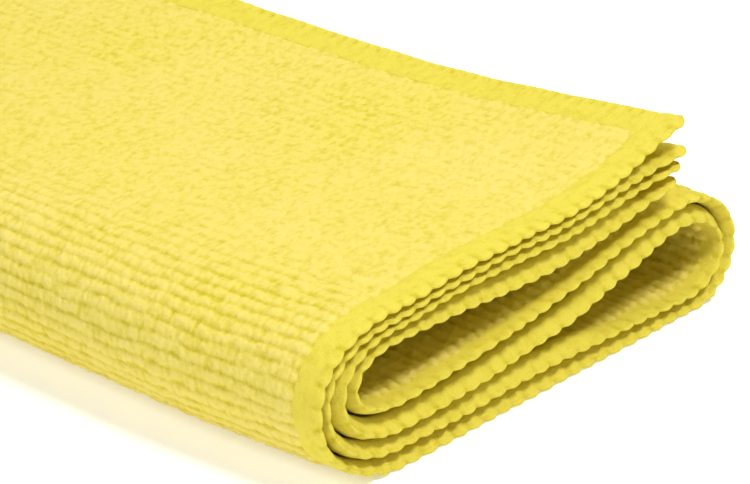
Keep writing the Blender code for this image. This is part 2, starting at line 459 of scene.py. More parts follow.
class MeshMaker:
    """Makes closed meshes from grids of points in millimetres."""

    def __init__(self, name: str) -> None:
        """Starts an empty mesh for the piece of that name."""
        self.name = name
        self.points: list[Array] = []
        self.relief: list[Array] = []
        self.flat: list[Array] = []
        self.faces: list[tuple[int, ...]] = []
        self.count = 0

    def _add(self, skin: Skin) -> Array:
        """Adds the points of a grid.

        Args:
            skin: The grid.

        Returns:
            The numbers of the points, in the shape of the grid.
        """
        shape = skin.points.shape[:-1]
        numbers = self.count + np.arange(shape[0] * shape[1]).reshape(shape)
        self.points.append(skin.points.reshape(-1, 3))
        self.relief.append(skin.relief.reshape(-1))
        self.flat.append(skin.flat.reshape(-1, 2))
        self.count += numbers.size
        return numbers

    def _quads(self, numbers: Array) -> None:
        """Adds the faces of a grid of point numbers, by row and column."""
        quads = np.stack([numbers[:-1, :-1], numbers[1:, :-1], numbers[1:, 1:], numbers[:-1, 1:]], -1)
        self.faces.extend(map(tuple, quads.reshape(-1, 4).tolist()))

    def pillow(self, top: Skin, bottom: Skin) -> None:
        """Adds two grids as one closed skin, joined along the top's rim.

        Args:
            top: The upper grid.
            bottom: The lower grid, of the same shape.
        """
        upper, lower = self._add(top), self._add(bottom)
        set_rim(lower, upper)
        self._quads(upper)
        self._quads(lower[::-1])

    def lined(self, top: Skin, lining: Skin, row_marks: Array, column_marks: Array) -> None:
        """Adds a fine grid closed by a coarse one, whose rim faces take the fine rim's points.

        Args:
            top: The fine grid. Its first and last rows stand upright under their neighbours.
            lining: The coarse grid, with a point for each marked row and column of the fine one.
            row_marks: The marked rows of the fine grid, from its first to its last.
            column_marks: The marked columns, likewise.
        """
        upper, lower = self._add(top), self._add(lining)
        set_rim(lower, upper[np.ix_(row_marks, column_marks)])
        self._quads(upper)
        rows, columns = lower.shape
        for i in range(rows - 1):
            for j in range(columns - 1):
                start_i, end_i = row_marks[i], row_marks[i + 1]
                start_j, end_j = column_marks[j], column_marks[j + 1]
                left = upper[end_i:start_i:-1, 0] if j == 0 else lower[i + 1 : i + 2, j]
                first = upper[0, start_j:end_j] if i == 0 else lower[i, j : j + 1]
                right = upper[start_i:end_i, -1] if j == columns - 2 else lower[i, j + 1 : j + 2]
                last = upper[-1, end_j:start_j:-1] if i == rows - 2 else lower[i + 1, j + 1 : j + 2]
                self.faces.append(tuple(np.concatenate([left, first, right, last]).tolist()))

    def made(self) -> bpy.types.Object:
        """The object of the piece, with its faces outward and its points' own data, in metres."""
        points = np.concatenate(self.points)
        used = np.zeros(len(points), bool)
        used[np.fromiter((n for face in self.faces for n in face), int)] = True
        new_number = np.cumsum(used) - 1
        faces = [tuple(new_number[list(face)].tolist()) for face in self.faces]
        points = points[used]
        quads = np.array([face for face in faces if len(face) == 4])
        a, b, c, d = (points[quads[:, k]] for k in range(4))
        volume = np.sum(a * np.cross(b, c)) + np.sum(a * np.cross(c, d))
        if volume < 0:
            faces = [face[::-1] for face in faces]
        mesh = bpy.data.meshes.new(self.name)
        mesh.from_pydata((points * MM).tolist(), [], faces)
        mesh.validate()
        relief = mesh.attributes.new("relief", "FLOAT", "POINT")
        relief.data.foreach_set("value", np.concatenate(self.relief)[used].astype(np.float32))
        flat = np.concatenate(self.flat)[used]
        corners = np.zeros(len(mesh.loops), np.int32)
        mesh.loops.foreach_get("vertex_index", corners)
        mesh.uv_layers.new(name="flat").data.foreach_set("uv", flat[corners].astype(np.float32).ravel())
        mesh.shade_smooth()
        mesh.update()
        made = bpy.data.objects.new(self.name, mesh)
        bpy.context.scene.collection.objects.link(made)
        return made


class Channel:
    """A number in a node tree. Sums, differences and products of it add Math nodes."""

    def __init__(self, graph: "Graph", socket: bpy.types.NodeSocket) -> None:
        """Wraps an output socket."""
        self.graph = graph
        self.socket = socket

    def _math(self, operation: str, first: object, second: object) -> "Channel":
        """A Math node on two values, each a Channel or a number."""
        node = self.graph.node("ShaderNodeMath", {"operation": operation}, {0: first, 1: second})
        return Channel(self.graph, node.outputs[0])

    def __add__(self, other: object) -> "Channel":
        """The sum."""
        return self._math("ADD", self, other)

    def __radd__(self, other: object) -> "Channel":
        """The sum, with a number before it."""
        return self._math("ADD", other, self)

    def __sub__(self, other: object) -> "Channel":
        """The difference."""
        return self._math("SUBTRACT", self, other)

    def __rsub__(self, other: object) -> "Channel":
        """The difference from a number."""
        return self._math("SUBTRACT", other, self)

    def __mul__(self, other: object) -> "Channel":
        """The product."""
        return self._math("MULTIPLY", self, other)

    def __rmul__(self, other: object) -> "Channel":
        """The product, with a number before it."""
        return self._math("MULTIPLY", other, self)

    def centred(self) -> "Channel":
        """It less a half, so that noise goes both up and down."""
        return self - 0.5

    def sine(self) -> "Channel":
        """The sine of it, in radians."""
        return self._math("SINE", self, 0.0)

    def within(self) -> "Channel":
        """It, held between 0 and 1."""
        return self._math("MINIMUM", self._math("MAXIMUM", self, 0.0), 1.0)


class Graph:
    """The node tree of one material, emptied but for its shader."""

    def __init__(self, name: str) -> None:
        """Makes the material."""
        self.material = bpy.data.materials.new(name)
        self.material.use_nodes = True
        self.tree = self.material.node_tree
        self.shader = self.tree.nodes["Principled BSDF"]

    def node(self, kind: str, settings: dict, inputs: dict) -> bpy.types.Node:
        """Adds a node.

        Args:
            kind: The node's type.
            settings: Its properties, set before its sockets.
            inputs: By name or number of socket, a Channel, another node's socket or a value.

        Returns:
            The new node.
        """
        made = self.tree.nodes.new(kind)
        for name, value in settings.items():
            setattr(made, name, value)
        for key, value in inputs.items():
            self.put(made.inputs[key], value)
        return made

    def put(self, socket: bpy.types.NodeSocket, value: object) -> None:
        """Sets a socket to a value, or links it.

        Args:
            socket: The input socket.
            value: A Channel, another node's output socket or a value.
        """
        if isinstance(value, Channel):
            value = value.socket
        if isinstance(value, bpy.types.NodeSocket):
            self.tree.links.new(value, socket)
        else:
            socket.default_value = value

    def shaded(self, inputs: dict[str, object]) -> bpy.types.Material:
        """Sets the shader's inputs.

        Args:
            inputs: By name of the input, a Channel, another node's output socket or a value.

        Returns:
            The finished material.
        """
        for name, value in inputs.items():
            self.put(self.shader.inputs[name], value)
        return self.material

    def noise(self, where: bpy.types.NodeSocket, scale: float, detail: float = 2.0) -> Channel:
        """Soft noise from 0 to 1.

        Args:
            where: The coordinates.
            scale: The cells in a unit of the coordinates.
            detail: How many finer layers of noise lie on the first.

        Returns:
            The noise.
        """
        made = self.node("ShaderNodeTexNoise", {}, {"Vector": where, "Scale": scale,
                                                    "Detail": detail, "Roughness": NOISE_ROUGHNESS})
        return Channel(self, made.outputs["Fac"])

    def relief(self) -> Channel:
        """The relief of the piece's own points, from 0 to 1."""
        made = self.node("ShaderNodeAttribute", {"attribute_name": "relief"}, {})
        return Channel(self, made.outputs["Fac"])

    def flat(self, run_scale: float = 1.0, cross_scale: float = 1.0) -> bpy.types.NodeSocket:
        """The flat coordinates of the cloth in millimetres.

        Args:
            run_scale: What the first is multiplied by.
            cross_scale: What the second is multiplied by.

        Returns:
            The socket that gives them.
        """
        made = self.node("ShaderNodeUVMap", {"uv_map": "flat"}, {})
        scaled = self.node("ShaderNodeVectorMath", {"operation": "MULTIPLY"},
                           {0: made.outputs["UV"], 1: (run_scale, cross_scale, 1.0)})
        return scaled.outputs["Vector"]

    def place(self) -> bpy.types.NodeSocket:
        """The Object coordinates, in metres."""
        return self.node("ShaderNodeTexCoord", {}, {}).outputs["Object"]

    def mixed(self, factor: Channel, first: object, second: object) -> bpy.types.NodeSocket:
        """A colour between two colours."""
        made = self.node("ShaderNodeMix", {"data_type": "RGBA"}, {0: factor, 6: first, 7: second})
        return made.outputs[2]

    def bump(self, height: Channel, distance: float, strength: float) -> bpy.types.NodeSocket:
        """The normal of a raised pattern."""
        made = self.node("ShaderNodeBump", {},
                         {"Height": height, "Distance": distance, "Strength": strength})
        return made.outputs["Normal"]


def shown(red: int, green: int, blue: int) -> Colour:
    """The linear colour that shows as given 8-bit values.

    Args:
        red: The red, from 0 to 255.
        green: The green, likewise.
        blue: The blue, likewise.

    Returns:
        The colour, opaque.
    """
    levels = [value / 255 for value in (red, green, blue)]
    linear = [v / 12.92 if v <= 0.04045 else ((v + 0.055) / 1.055) ** 2.4 for v in levels]
    return (linear[0], linear[1], linear[2], 1.0)


@dataclass(frozen=True)
class TerryFinish:
    """The brushed loop pile: soft and matt, with a painted highlight on the tips of its loops and
    painted shade down in the gaps.

    A scale is in cells for each millimetre, but that of the patches is for each metre.
    """

    # A paler colour painted on the raised loops: a painted highlight and sheen.
    highlight_tip: Colour = shown(231, 213, 117)
    body: Colour = shown(228, 210, 74)
    # A darker colour painted down in the gaps between the loops: painted shade.
    gap: Colour = shown(200, 182, 44)
    thread_scale: tuple[float, float] = (1.7, 2.3)
    thread_detail: float = 3.0
    speckle_scale: float = 1.7
    patch_scale: float = 30.0
    # The painted shade in the gaps: where it starts in the relief, how fast it deepens and how the
    # threads vary it.
    shade_relief: float = 0.27
    shade_gain: float = 2.2
    shade_threads: float = 0.5
    # The painted highlight: how it follows the relief, the speckle and the broad patches, and its share
    # everywhere.
    highlight_relief: float = 0.45
    highlight_gain: float = 1.2
    highlight_speckle: float = 1.2
    highlight_patches: float = 0.9
    highlight_share: float = 0.33
    bump_threads: float = 0.7
    bump_speckle: float = 0.5
    bump_height: float = 0.00035
    bump_strength: float = 0.55
    roughness: float = 0.95
    gloss: float = 0.05
    sheen: float = 0.08

    def material(self) -> bpy.types.Material:
        """The material, with the fine threads of the loops as its bump."""
        graph = Graph("yellow_terry")
        relief = graph.relief()
        threads = graph.noise(graph.flat(*self.thread_scale), 1.0, self.thread_detail)
        speckle = graph.noise(graph.flat(), self.speckle_scale)
        patches = graph.noise(graph.place(), self.patch_scale)
        # Painted shade: the darker gap colour where the relief is low, down between the loops.
        depth = (relief - self.shade_relief) * self.shade_gain + threads.centred() * self.shade_threads
        # Painted highlight and sheen: the paler tip colour on the raised loops, in speckles and in
        # broad patches.
        pale = (relief - self.highlight_relief) * self.highlight_gain + speckle.centred() * self.highlight_speckle
        pale = pale + patches.centred() * self.highlight_patches + self.highlight_share
        low = graph.mixed(depth.within(), self.gap, self.body)
        raised = threads * self.bump_threads + speckle * self.bump_speckle
        return graph.shaded({
            "Base Color": graph.mixed(pale.within(), low, self.highlight_tip),
            "Normal": graph.bump(raised, self.bump_height, self.bump_strength),
            "Roughness": self.roughness,
            "Specular IOR Level": self.gloss,
            "Sheen Weight": self.sheen,
            "Sheen Tint": self.body,
        })


@dataclass(frozen=True)
class HemFinish:
    """The overlocked border: smoother and a fuller yellow, with its stitches across the rim, and
    painted shade in its puckers and needle dimples.

    A scale is in cells for each millimetre.
    """

    face: Colour = shown(225, 209, 80)
    # A darker colour painted in the puckers and needle dimples: painted shade.
    dent: Colour = shown(200, 182, 40)
    fibre_scale: float = 2.4
    fibre_detail: float = 3.0
    patch_scale: float = 0.5
    # How strongly the painted shade of the dents shows.
    tone_shade: float = 0.9
    tone_fibres: float = 0.9
    tone_patches: float = 1.5
    tone_share: float = 0.05
    stitch_pitch: float = 0.62
    stitch_waver: float = 9.0
    bump_stitches: float = 0.02
    bump_fibres: float = 0.9
    bump_height: float = 0.0003
    bump_strength: float = 0.5
    roughness: float = 0.85
    gloss: float = 0.08

    def material(self) -> bpy.types.Material:
        """The material, with the threads of the overlock as its bump."""
        graph = Graph("yellow_overlock")
        fibres = graph.noise(graph.flat(), self.fibre_scale, self.fibre_detail)
        patches = graph.noise(graph.flat(), self.patch_scale)
        # Painted shade: the dents in the border's relief get the darker colour; the fibres and patches
        # vary the tone at random.
        tone = graph.relief() * self.tone_shade + fibres.centred() * self.tone_fibres
        tone = tone + patches.centred() * self.tone_patches + self.tone_share
        parts = graph.node("ShaderNodeSeparateXYZ", {}, {0: graph.flat()})
        along = Channel(graph, parts.outputs["X"])
        stitches = along * (2 * math.pi / self.stitch_pitch) + fibres * self.stitch_waver
        raised = stitches.sine() * self.bump_stitches + fibres * self.bump_fibres
        return graph.shaded({
            "Base Color": graph.mixed(tone.within(), self.dent, self.face),
            "Normal": graph.bump(raised, self.bump_height, self.bump_strength),
            "Roughness": self.roughness,
            "Specular IOR Level": self.gloss,
        })


@dataclass(frozen=True)
class HemShape:
    """The form of the overlocked border. Lengths are in millimetres.

    A cell is how far apart the random values are, in scallops for the drift and the lobes. A zone
    is where an effect fades in.
    """

    cut_pitch: float = 3.5
    free_pitch: float = 2.95
    drift: float = 0.16
    drift_cell: float = 2.7
    drift_rows: int = 7
    lobe: float = 0.46
    lobe_spread: float = 0.2
    lobe_cell: float = 1.9
    lobe_roundness: float = 0.8
    lobe_foot: float = 0.6
    lobe_reach: float = 1.6
    corner: float = 3.0
    corner_fade: tuple[float, float] = (0.4, 2.6)
    corner_lobe: float = 0.85
    corner_neck: tuple[float, float] = (8.0, 0.6)
    half_face: float = 0.54
    rim_share: float = 0.6
    rim_radius: float = 0.42
    shoulder: float = 1.9
    swell_share: float = 0.5
    swell_lean: float = 0.14
    swell_most: float = 1.4
    swell_rising: float = 0.5
    swell_line: float = 0.2
    swell_calm: float = 2.6
    swell_open: tuple[float, float] = (9.0, 6.0)
    swell_start: float = 0.35
    swell_full: float = 3.2
    swell_foot: float = 0.25
    swell_end: tuple[float, float] = (6.2, 3.6)
    swell_corner: tuple[float, float] = (3.0, 14.0)
    wave: float = 0.13
    wave_fade: float = 2.4
    wave_zone: tuple[float, float] = (0.0, 6.0)
    sway: float = 0.16
    sway_cell: float = 9.0
    dimple: float = 0.22
    dimple_place: float = 1.4
    dimple_radius: float = 0.4
    notch_row: int = 3
    pucker: float = 0.26
    pucker_width: float = 0.5
    pucker_lean: float = 0.5
    pucker_reach: float = 5.0
    reach_least: float = 0.5
    reach_spread: float = 0.6
    pucker_full: float = 0.4
    free_pucker_share: float = 0.35
    dent_zone: tuple[float, float] = (0.0, 0.8)
    # How strongly the dents darken the border's colour, as painted shade.
    dent_shade: float = 1.6
    grain: float = 0.05
    grain_cell: float = 0.9
    lumps: float = 0.11
    lump_cells: tuple[float, float] = (1.9, 1.6)
    grain_zone: tuple[float, float] = (0.2, 1.0)

    def phase(self, along: Array, length: float, pitch: float) -> Array:
        """The count of scallops at a distance along an edge.

        Args:
            along: The distance from the start of the edge.
            length: The length of the edge.
            pitch: About how far apart its notches are.

        Returns:
            The count, which is whole at each notch.
        """
        lobes = round(length / pitch)
        even = along / length * lobes
        drift = SoftNoise(Seed.SCALLOP_DRIFT).at(even / self.drift_cell, length % self.drift_rows)
        return even + self.drift * drift * ramp(even, 0.0, 1.0) * ramp(even, lobes, lobes - 1.0)

    def push(self, phase: Array, inward: Array) -> Array:
        """How far the scallops move a place outward in the plane of the cloth.

        Args:
            phase: The scallop count.
            inward: The distance in from the rim.

        Returns:
            The move in millimetres, which is less than 0 at the notches.
        """
        size = self.lobe_spread * SoftNoise(Seed.SCALLOP_SIZE).at(phase / self.lobe_cell)
        reach = np.clip(1.0 - inward / self.lobe_reach, 0.0, 1.0) ** 2
        form = np.abs(np.sin(np.pi * phase)) ** self.lobe_roundness - self.lobe_foot
        return self.lobe * (1.0 + size) * form * reach

    def outline(self, run: Array, cross: Array, length: float, width: float,
                run_phase: Array, cross_phase: Array) -> tuple[Array, Array]:
        """Places of the plain rectangle moved to the cloth's rounded, scalloped outline.

        Args:
            run: The distance along the folds.
            cross: The distance across the flat cloth.
            length: The cloth's length along the folds.
            width: The cloth's width.
            run_phase: The scallop count along the cut edges at each place.
            cross_phase: The scallop count along the free edges at each place.

        Returns:
            The moved run and cross.
        """
        from_free, from_cut = np.minimum(run, length - run), np.minimum(cross, width - cross)
        u = np.clip(1.0 - from_free / self.corner, 0.0, 1.0)
        v = np.clip(1.0 - from_cut / self.corner, 0.0, 1.0)
        free_in = from_free + self.corner * (u - u * np.sqrt(1.0 - v * v / 2))
        cut_in = from_cut + self.corner * (v - v * np.sqrt(1.0 - u * u / 2))
        free_in = free_in - self.push(cross_phase, from_free) * ramp(from_cut, *self.corner_fade)
        cut_in = cut_in - self.push(run_phase, from_cut) * ramp(from_free, *self.corner_fade)
        # The overlock ends in a lobe that stands out at the corner.
        lobe = ramp(from_free, *self.corner_neck) * ramp(from_cut, *self.corner_neck)
        free_in, cut_in = free_in - self.corner_lobe * lobe, cut_in - self.corner_lobe * lobe
        return (np.where(run < length / 2, free_in, length - free_in),
                np.where(cross < width / 2, cut_in, width - cut_in))

    def half(self, inward: Array) -> Array:
        """The thickness of the border without its swell.

        Args:
            inward: The distance in from the rim.

        Returns:
            Half the thickness there.
        """
        near = 1.0 - np.minimum(inward / self.rim_radius, 1.0)
        slope = 1.0 - (1.0 - np.minimum(inward / self.shoulder, 1.0)) ** 2
        rim = self.rim_share * np.sqrt(1.0 - near * near)
        return self.half_face * (rim + (1.0 - self.rim_share) * slope)

    def swell(self, room: Array, rising: Array) -> Array:
        """How far a side of the border swells beyond its plain face, toward the next layer.

        Args:
            room: How far off the middle of the next layer is on that side.
            rising: How far the side faces up, from -1 to 1.

        Returns:
            The swell in millimetres. It is nothing where the side is open.
        """
        taken = room * (self.swell_share + self.swell_lean * rising) - self.swell_line
        most = self.swell_most + self.swell_rising * rising
        return np.clip(taken - self.half_face, 0.0, most) * ramp(room, *self.swell_open)

    def swelling(self, inward: Array, end_in: Array) -> Array:
        """How much of the swell there is at a place of the border.

        Args:
            inward: The distance in from the scalloped rim.
            end_in: The distance in from the edge's end.

        Returns:
            The share, from 0 to 1.
        """
        part = np.clip((inward - self.swell_start) / (self.swell_full - self.swell_start), 0.0, 1.0)
        rise = np.sin(np.pi / 2 * part) * ramp(part, 0.0, self.swell_foot)
        return rise * ramp(inward, *self.swell_end) * ramp(end_in, *self.swell_corner)

    def notch(self, phase: Array, inward: Array, pitch: float) -> Array:
        """The puckers and the needle dimples at the notches.

        Args:
            phase: The scallop count.
            inward: The distance in from the rim.
            pitch: The edge's scallop pitch.

        Returns:
            Their depth in millimetres.
        """
        foot = np.round(phase).astype(int)
        size, lean, reach = (SoftNoise(seed).cell(foot, self.notch_row)
                             for seed in (Seed.PUCKER_DEPTH, Seed.PUCKER_LEAN, Seed.PUCKER_REACH))
        off = (phase - np.round(phase)) * pitch + (lean - 0.5) * self.pucker_lean * inward
        dimple = np.exp(-(off**2 + (inward - self.dimple_place) ** 2) / self.dimple_radius**2)
        end = self.pucker_reach * (self.reach_least + self.reach_spread * reach)
        share = self.free_pucker_share if pitch == self.free_pitch else 1.0
        pucker = np.exp(-(off / self.pucker_width) ** 2) * ramp(inward, end, self.pucker_full) * share
        return (0.5 + 0.5 * size) * (self.dimple * dimple + self.pucker * pucker)

    def waver(self, phase: Array, inward: Array, along: Array, lift: Array) -> Array:
        """How far the rim waves out of the plane of the cloth.

        Args:
            phase: The scallop count.
            inward: The distance in from the rim.
            along: The distance along the edge.
            lift: How far the cloth faces up there, from -1 to 1. The notches turn up.

        Returns:
            The offset along the cloth's normal, in millimetres.
        """
        bend = np.cos(2 * np.pi * phase) * self.wave * lift
        sway = self.sway * SoftNoise(Seed.RIM_SWAY).at(along / self.sway_cell)
        return (bend + sway) * np.exp(-inward / self.wave_fade)

    def roughness(self, along: Array, inward: Array, near: Array) -> Array:
        """The small unevenness of the border's threads.

        Args:
            along: The distance along the edge.
            inward: The distance in from the rim.
            near: The distance in from the nearest rim, that of the edge's end too.

        Returns:
            The height in millimetres. It is nothing at the rim.
        """
        grain = SoftNoise(Seed.HEM_GRAIN).at(along / self.grain_cell, inward / self.grain_cell)
        lumps = SoftNoise(Seed.HEM_LUMPS).at(along / self.lump_cells[0], inward / self.lump_cells[1])
        return (self.grain * grain + self.lumps * lumps) * ramp(near, *self.grain_zone)


@dataclass(frozen=True)
class TerryShape:
    """The form of the loop pile. Rows of loops run across the cloth. Lengths are in millimetres.

    A wobble's cell is its length along a row and its width in rows. Any other cell is its length,
    in knots for the waver, and how many come to a row. A reach or a height is the least and what
    is added to it. A mix is its plain part, its clumps and its tufts.
    """

    row_pitch: float = 2.3
    knot_pitch: float = 1.65
    floor: float = 0.42
    ridge: float = 0.58
    lying: float = 0.36
    grain: float = 0.04
    grain_cell: float = 0.62
    fusing: float = 5.0
    wobble: float = 0.36
    wobble_cell: tuple[float, float] = (13.0, 2.3)
    near_wobble: float = 0.2
    near_wobble_cell: tuple[float, float] = (3.4, 1.7)
    drift: float = 0.35
    drift_cell: tuple[float, float] = (5.3, 3.7)
    stagger: float = 0.37
    waver: float = 0.07
    waver_cell: tuple[float, float] = (1.8, 3.1)
    knot_shift: float = 0.24
    knot_reach: tuple[float, float] = (0.54, 0.14)
    row_reach: tuple[float, float] = (0.53, 0.05)
    knot_roundness: float = 0.42
    row_roundness: float = 0.65
    knot_height: tuple[float, float] = (0.84, 0.16)
    chained: float = 0.45
    clump_cell: tuple[float, float] = (1.15, 2.1)
    tuft_cell: tuple[float, float] = (0.72, 3.2)
    open_mix: tuple[float, float, float] = (0.82, 0.24, 0.2)
    closed_mix: tuple[float, float, float] = (0.68, 0.12, 0.22)
    ribbed: float = 0.22
    highest: float = 1.1

    def run_of(self, row: Array, along: Array) -> Array:
        """Where the row lines run, wavering a little across the cloth.

        Args:
            row: The count of rows.
            along: The distance along the rows.

        Returns:
            The run at each place.
        """
        (far_along, far_row), (near_along, near_row) = self.wobble_cell, self.near_wobble_cell
        far = self.wobble * SoftNoise(Seed.ROW_BENDS).at(along / far_along, row / far_row)
        near = self.near_wobble * SoftNoise(Seed.ROW_WAVER).at(along / near_along, row / near_row)
        return self.row_pitch * row + far + near

    def knots(self, row: Array, along: Array) -> Array:
        """The rounded knots that the loops stand in: each row is an uneven chain of them.

        Args:
            row: The count of rows, whole in the gaps between them.
            along: The distance along the rows.

        Returns:
            The height of the knots, from 0 between them to 1.
        """
        fused = np.zeros(row.shape)
        for row_off in (-1, 0, 1):
            own = np.floor(row).astype(int) + row_off
            drift = SoftNoise(Seed.KNOT_DRIFT).at(along / self.drift_cell[0], own * self.drift_cell[1])
            count = along / self.knot_pitch + self.stagger * own + self.drift * drift
            waver = SoftNoise(Seed.KNOT_WAVER).at(count / self.waver_cell[0], own * self.waver_cell[1])
            for knot_off in (-1, 0, 1):
                knot = np.floor(count).astype(int) + knot_off
                size, width = (SoftNoise(seed).cell(own, knot)
                               for seed in (Seed.KNOT_SIZE, Seed.KNOT_WIDTH))
                off_along = count - knot - 0.5 - self.knot_shift * (size - 0.5)
                off_along = off_along / (self.knot_reach[0] + self.knot_reach[1] * width)
                off_row = row - own - 0.5 - self.waver * waver
                off_row = off_row / (self.row_reach[0] + self.row_reach[1] * width)
                within_row = np.clip(1.0 - off_row**2, 0.0, 1.0) ** self.row_roundness
                within_knot = np.clip(1.0 - off_along**2, 0.0, 1.0) ** self.knot_roundness
                chained = self.chained + (1.0 - self.chained) * within_knot
                height = (self.knot_height[0] + self.knot_height[1] * size) * within_row * chained
                fused = fused + height**self.fusing
        return fused ** (1.0 / self.fusing)

    def relief(self, row: Array, along: Array, openness: Array) -> Array:
        """The relief of the pile from 0, in the gaps, to about 1, on the highest loops.

        Args:
            row: The count of rows, whole in the gaps between them.
            along: The distance along the rows.
            openness: 0 where the pile lies close, as on the flat, and 1 where a bend opens it.

        Returns:
            The relief at each place.
        """
        clump, tuft = (SoftNoise(seed).at(along / cell[0], row * cell[1]) for seed, cell in
                       ((Seed.CLUMPS, self.clump_cell), (Seed.TUFTS, self.tuft_cell)))
        opened, closed = (plain + clumps * clump + tufts * tuft
                          for plain, clumps, tufts in (self.open_mix, self.closed_mix))
        share = self.ribbed + (1.0 - self.ribbed) * openness
        mixed = self.knots(row, along) * opened * share + closed * (1.0 - share)
        return np.clip(mixed, 0.0, self.highest)


@dataclass
class Sheet:
    """The plain sheet under the pile and the borders: one closed skin on all the folds."""

    folds: Folds
    terry: TerryShape
    half: float = 0.34
    margin: float = 4.6
    flat_step: float = 3.0
    bend_step: float = 1.4
    bend_probe: float = 3.0
    least_turn: float = 0.05
    least_step: float = 1.0
    cross_step: float = 6.1
    hairpin_step: float = 0.75
    hairpin: tuple[float, float] = (194.0, 206.0)
    relief: float = 0.55
    base_zone: tuple[float, float] = (1.4, 0.7)
    base_gap: float = 0.1

    def stations(self) -> tuple[Array, Array]:
        """The places along the run and across, closer together where the sheet bends."""
        length = self.folds.length(Ply.OUTER)
        stops, at = [self.margin], self.margin
        along, normal = self.folds.runs[Ply.OUTER], self.folds.normals[Ply.OUTER]
        while True:
            here, ahead = (np.interp(at + off, along, normal[:, 1]) for off in (0.0, self.bend_probe))
            at += self.bend_step if abs(ahead - here) > self.least_turn else self.flat_step
            if at > length - self.margin - self.least_step:
                break
            stops.append(at)
        stops.append(length - self.margin)
        start, end = self.hairpin
        last = self.folds.flat_width - self.margin
        across = ((start, self.cross_step), (end, self.hairpin_step), (last, self.cross_step))
        return np.array(stops), stepped(self.margin, across)

    def build(self) -> bpy.types.Object:
        """The closed skin."""
        run, cross = np.meshgrid(*self.stations(), indexing="ij")
        flat = np.stack([run, cross], axis=-1)
        relief = np.full(run.shape, self.relief)
        # The sheet rests on the floor where no pile is under it.
        low = ramp(self.folds.middle(run, cross)[0][..., 2], *self.base_zone)
        resting = self.terry.floor + self.base_gap
        top = self.folds.surface(run, cross, self.half + (resting - self.half) * low)
        bottom = self.folds.surface(run, cross, np.full(run.shape, -self.half))
        set_rim(top, self.folds.surface(run, cross, np.zeros(run.shape)))
        maker = MeshMaker("cloth")
        maker.pillow(Skin(top, relief, flat), Skin(bottom, relief, flat))
        return maker.made()


class Edge(Enum):
    """The four edges of the flat cloth."""

    CUT_OUTER = "hem_end_outer"
    CUT_INNER = "hem_end_inner"
    FREE_LID = "hem_lid"
    FREE_TUCK = "hem_tuck"


@dataclass
class Hem:
    """The border along one edge of the cloth, with its scallops, both faces and the rim."""

    folds: Folds
    shape: HemShape
    edge: Edge
    steps_per_lobe: int = 9
    fine_steps: int = 20000
    end_extra: tuple[float, float] = (0.02, 0.06)
    decimals: int = 4
    inward: tuple[float, ...] = (0.0, 0.06, 0.22, 0.48, 0.85, 1.3, 1.8, 2.35, 2.95, 3.6, 4.3, 5.1,
                                 5.9, 6.4, 6.8)
    lap: float = 0.6
    free_start: float = 5.6

    def _phases(self, length: float, start: float, pitch: float) -> tuple[Array, Array]:
        """The stations along an edge.

        Args:
            length: The length of the edge.
            start: How far in from each end of the edge its stations begin.
            pitch: The edge's scallop pitch.

        Returns:
            Their scallop counts, and how far along the edge they are.
        """
        fine = np.linspace(0.0, length, self.fine_steps + 1)
        count = self.shape.phase(fine, length, pitch)
        first, last = np.interp([start, length - start], fine, count)
        stops = np.arange(math.ceil(first * self.steps_per_lobe), last * self.steps_per_lobe)
        stops = np.concatenate([[first], stops / self.steps_per_lobe, [last]])
        if start == 0.0:
            extra = np.array(self.end_extra)
            stops = np.concatenate([stops, first + extra, last - extra])
        stops = np.unique(np.round(stops, self.decimals))
        return stops, np.interp(stops, count, fine)

    def build(self) -> bpy.types.Object:
        """The closed strip."""
        length, width = self.folds.length(Ply.OUTER), self.folds.flat_width
        on_cut = self.edge in (Edge.CUT_OUTER, Edge.CUT_INNER)
        ply = Ply.INNER if self.edge is Edge.CUT_INNER else Ply.OUTER
        pitch = self.shape.cut_pitch if on_cut else self.shape.free_pitch
        own_length = self.folds.length(ply) if on_cut else width
        phase, own = self._phases(own_length, 0.0 if on_cut else self.free_start, pitch)
        phase, inward = np.meshgrid(phase, np.array(self.inward), indexing="ij")
        along = np.broadcast_to(own[:, None], phase.shape)
        hidden = ramp(inward, self.inward[-1], self.inward[-1] - self.lap)
        outside = inside = np.zeros(phase.shape)
        if on_cut:
            run = self.folds.shared_run(ply, along)
            cross = inward if ply is Ply.OUTER else width - inward
            run_phase, cross_phase = phase, self.shape.phase(cross, width, self.shape.free_pitch)
            end_in = np.minimum(run, length - run)
            swelling = self.shape.swelling(inward - self.shape.push(phase, inward), end_in)
            inside = self.shape.swell(*self.folds.neighbour(ply, -1.0, along)) * swelling
            if ply is Ply.INNER:
                outside = self.shape.swell(*self.folds.neighbour(ply, 1.0, along)) * swelling
        else:
            run = inward if self.edge is Edge.FREE_LID else length - inward
            cross = along
            run_phase, cross_phase = self.shape.phase(run, length, self.shape.cut_pitch), phase
            end_in = np.full(run.shape, width)
            hidden = hidden * ramp(np.minimum(cross, width - cross) - self.free_start, 0.0, self.lap)
        near = np.minimum(inward, end_in)
        calm = 1.0 / (1.0 + self.shape.swell_calm * (outside + inside))
        dent = self.shape.notch(phase, inward, pitch) * calm
        lift = self.folds.middle(run, cross)[1][..., 2]
        offset = self.shape.waver(phase, inward, along, lift) * calm
        offset = offset * ramp(end_in, *self.shape.wave_zone)
        dented = self.shape.half(near) * hidden - dent * ramp(near, *self.shape.dent_zone)
        raised = np.maximum(dented, 0.0) + self.shape.roughness(along, inward, near) * hidden
        deepest = self.shape.dimple + self.shape.pucker
        # Painted shade: the deeper a pucker or needle dimple, the darker the border's colour there.
        tone = np.clip(1.0 - dent / deepest * self.shape.dent_shade, 0.0, 1.0)
        flat = np.stack([along, inward], axis=-1)
        place = self.shape.outline(run, cross, length, width, run_phase, cross_phase)
        top = self.folds.surface(*place, offset + raised + outside)
        bottom = self.folds.surface(*place, offset - raised - inside)
        maker = MeshMaker(self.edge.value)
        maker.pillow(Skin(top, tone, flat), Skin(bottom, tone, flat))
        return maker.made()


